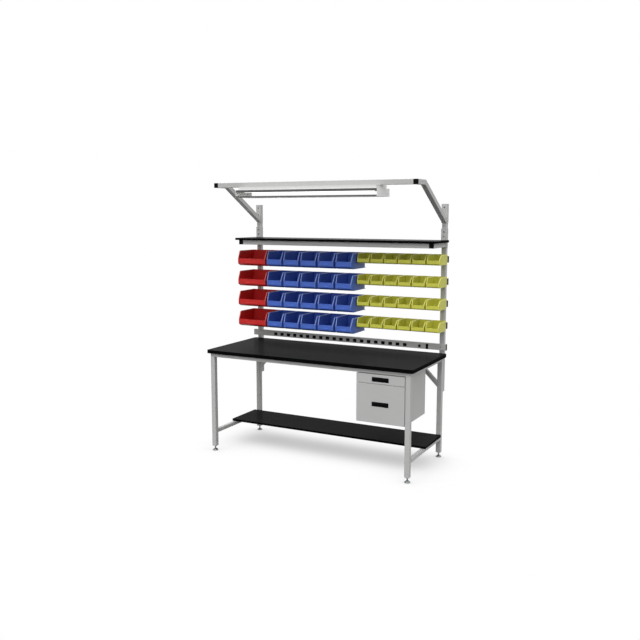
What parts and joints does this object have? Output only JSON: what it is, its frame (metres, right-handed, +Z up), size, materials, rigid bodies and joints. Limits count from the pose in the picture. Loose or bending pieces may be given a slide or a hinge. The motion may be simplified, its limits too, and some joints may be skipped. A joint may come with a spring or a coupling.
{
  "type": "anti-static workbench",
  "caption": "Anti-static workbench with a rear frame of hanging bins, a power rail, an upper shelf, a lamp on bent arms and a small drawer unit.",
  "frame": {"origin": "on the floor, midway between the worktop's ends and midway from its front edge to the uprights' backs", "axes": "+X to the user's right along the worktop, +Y to the back, +Z up"},
  "size_m": [1.8, 0.788, 2.198],
  "materials": {
    "frame_paint": "satin light grey powder coat",
    "board_laminate": "dark grey anti-static laminate on board",
    "black_plastic": "satin black moulding",
    "zinc_steel": "zinc plate",
    "lamp_paint_light": "satin pale grey",
    "lamp_paint_dark": "satin mid grey",
    "diffuser_acrylic": "opal",
    "holder_plastic": "white moulding",
    "tube_glass": "white phosphor-coated glass",
    "red_plastic": "satin moulding",
    "blue_plastic": "satin moulding",
    "yellow_plastic": "satin moulding"
  },
  "bodies": {
    "bench": {"leg_front_left": "frame_paint", "leg_front_right": "frame_paint", "leg_back_left": "frame_paint", "leg_back_right": "frame_paint", "long_rails": "frame_paint", "top_side_rails": "frame_paint", "low_side_rails": "frame_paint", "knee_braces": "frame_paint", "uprights": "frame_paint", "bin_rails": "frame_paint", "power_rail": "frame_paint", "shelf_brackets": "frame_paint", "shelf_cross_rail": "frame_paint", "light_arms": "frame_paint", "light_rail": "frame_paint", "drawer_cabinet": "frame_paint", "cabinet_hangers": "frame_paint", "worktop": "board_laminate", "lower_shelf": "board_laminate", "upper_shelf": "board_laminate", "cross_rail_caps": "black_plastic", "power_outlets": "black_plastic", "earth_stud": "black_plastic", "switch_housing": "black_plastic", "arm_end_caps": "black_plastic", "frame_bolts": "zinc_steel", "fixed_runners": "zinc_steel", "lamp_tray": "lamp_paint_light", "lamp_reflector": "lamp_paint_dark", "lamp_frame": "lamp_paint_dark", "lamp_diffuser": "diffuser_acrylic", "lamp_holders": "holder_plastic", "lamp_tubes": "tube_glass"},
    "upper_drawer": {"upper_drawer_box": "frame_paint", "upper_drawer_front": "frame_paint", "upper_drawer_pull": "black_plastic", "upper_inner_runners": "zinc_steel"},
    "upper_runner": {"upper_middle_runners": "zinc_steel"},
    "lower_drawer": {"lower_drawer_box": "frame_paint", "lower_drawer_front": "frame_paint", "lower_drawer_pull": "black_plastic", "lower_inner_runners": "zinc_steel"},
    "lower_runner": {"lower_middle_runners": "zinc_steel"},
    "rocker": {"switch_rocker": "black_plastic"},
    "foot_front_left_body": {"foot_front_left": "zinc_steel"},
    "foot_front_right_body": {"foot_front_right": "zinc_steel"},
    "foot_back_left_body": {"foot_back_left": "zinc_steel"},
    "foot_back_right_body": {"foot_back_right": "zinc_steel"},
    "red_row_1": {"red_bin_row_1": "red_plastic"},
    "blue_row_1": {"blue_bins_row_1": "blue_plastic"},
    "yellow_row_1": {"yellow_bins_row_1": "yellow_plastic"},
    "red_row_2": {"red_bin_row_2": "red_plastic"},
    "blue_row_2": {"blue_bins_row_2": "blue_plastic"},
    "yellow_row_2": {"yellow_bins_row_2": "yellow_plastic"},
    "red_row_3": {"red_bin_row_3": "red_plastic"},
    "blue_row_3": {"blue_bins_row_3": "blue_plastic"},
    "yellow_row_3": {"yellow_bins_row_3": "yellow_plastic"},
    "red_row_4": {"red_bin_row_4": "red_plastic"},
    "blue_row_4": {"blue_bins_row_4": "blue_plastic"},
    "yellow_row_4": {"yellow_bins_row_4": "yellow_plastic"}
  },
  "joints": [
    {"name": "upper_drawer_travel", "type": "slide", "parent": "bench", "child": "upper_drawer", "axis": [0, -1, 0], "range_m": [0, 0.36]},
    {"name": "upper_runner_travel", "type": "slide", "parent": "bench", "child": "upper_runner", "axis": [0, -1, 0], "range_m": [0, 0.18]},
    {"name": "lower_drawer_travel", "type": "slide", "parent": "bench", "child": "lower_drawer", "axis": [0, -1, 0], "range_m": [0, 0.36]},
    {"name": "lower_runner_travel", "type": "slide", "parent": "bench", "child": "lower_runner", "axis": [0, -1, 0], "range_m": [0, 0.18]},
    {"name": "rocker_tip", "type": "hinge", "parent": "bench", "child": "rocker", "pos_m": [0.74, 0.337, 0.899], "axis": [-1, 0, 0], "range_deg": [0, 16]},
    {"name": "foot_front_left_screw", "type": "slide", "parent": "bench", "child": "foot_front_left_body", "axis": [0, 0, -1], "range_m": [0, 0.025]},
    {"name": "foot_front_right_screw", "type": "slide", "parent": "bench", "child": "foot_front_right_body", "axis": [0, 0, -1], "range_m": [0, 0.025]},
    {"name": "foot_back_left_screw", "type": "slide", "parent": "bench", "child": "foot_back_left_body", "axis": [0, 0, -1], "range_m": [0, 0.025]},
    {"name": "foot_back_right_screw", "type": "slide", "parent": "bench", "child": "foot_back_right_body", "axis": [0, 0, -1], "range_m": [0, 0.025]},
    {"name": "red_row_1_lift", "type": "slide", "parent": "bench", "child": "red_row_1", "axis": [0, 0, 1], "range_m": [0, 0.035]},
    {"name": "blue_row_1_lift", "type": "slide", "parent": "bench", "child": "blue_row_1", "axis": [0, 0, 1], "range_m": [0, 0.035]},
    {"name": "yellow_row_1_lift", "type": "slide", "parent": "bench", "child": "yellow_row_1", "axis": [0, 0, 1], "range_m": [0, 0.035]},
    {"name": "red_row_2_lift", "type": "slide", "parent": "bench", "child": "red_row_2", "axis": [0, 0, 1], "range_m": [0, 0.035]},
    {"name": "blue_row_2_lift", "type": "slide", "parent": "bench", "child": "blue_row_2", "axis": [0, 0, 1], "range_m": [0, 0.035]},
    {"name": "yellow_row_2_lift", "type": "slide", "parent": "bench", "child": "yellow_row_2", "axis": [0, 0, 1], "range_m": [0, 0.035]},
    {"name": "red_row_3_lift", "type": "slide", "parent": "bench", "child": "red_row_3", "axis": [0, 0, 1], "range_m": [0, 0.035]},
    {"name": "blue_row_3_lift", "type": "slide", "parent": "bench", "child": "blue_row_3", "axis": [0, 0, 1], "range_m": [0, 0.035]},
    {"name": "yellow_row_3_lift", "type": "slide", "parent": "bench", "child": "yellow_row_3", "axis": [0, 0, 1], "range_m": [0, 0.035]},
    {"name": "red_row_4_lift", "type": "slide", "parent": "bench", "child": "red_row_4", "axis": [0, 0, 1], "range_m": [0, 0.035]},
    {"name": "blue_row_4_lift", "type": "slide", "parent": "bench", "child": "blue_row_4", "axis": [0, 0, 1], "range_m": [0, 0.035]},
    {"name": "yellow_row_4_lift", "type": "slide", "parent": "bench", "child": "yellow_row_4", "axis": [0, 0, 1], "range_m": [0, 0.035]}
  ],
  "couplings": [
    {"joint": "upper_runner_travel", "follows": "upper_drawer_travel", "ratio": 0.5},
    {"joint": "lower_runner_travel", "follows": "lower_drawer_travel", "ratio": 0.5}
  ]
}
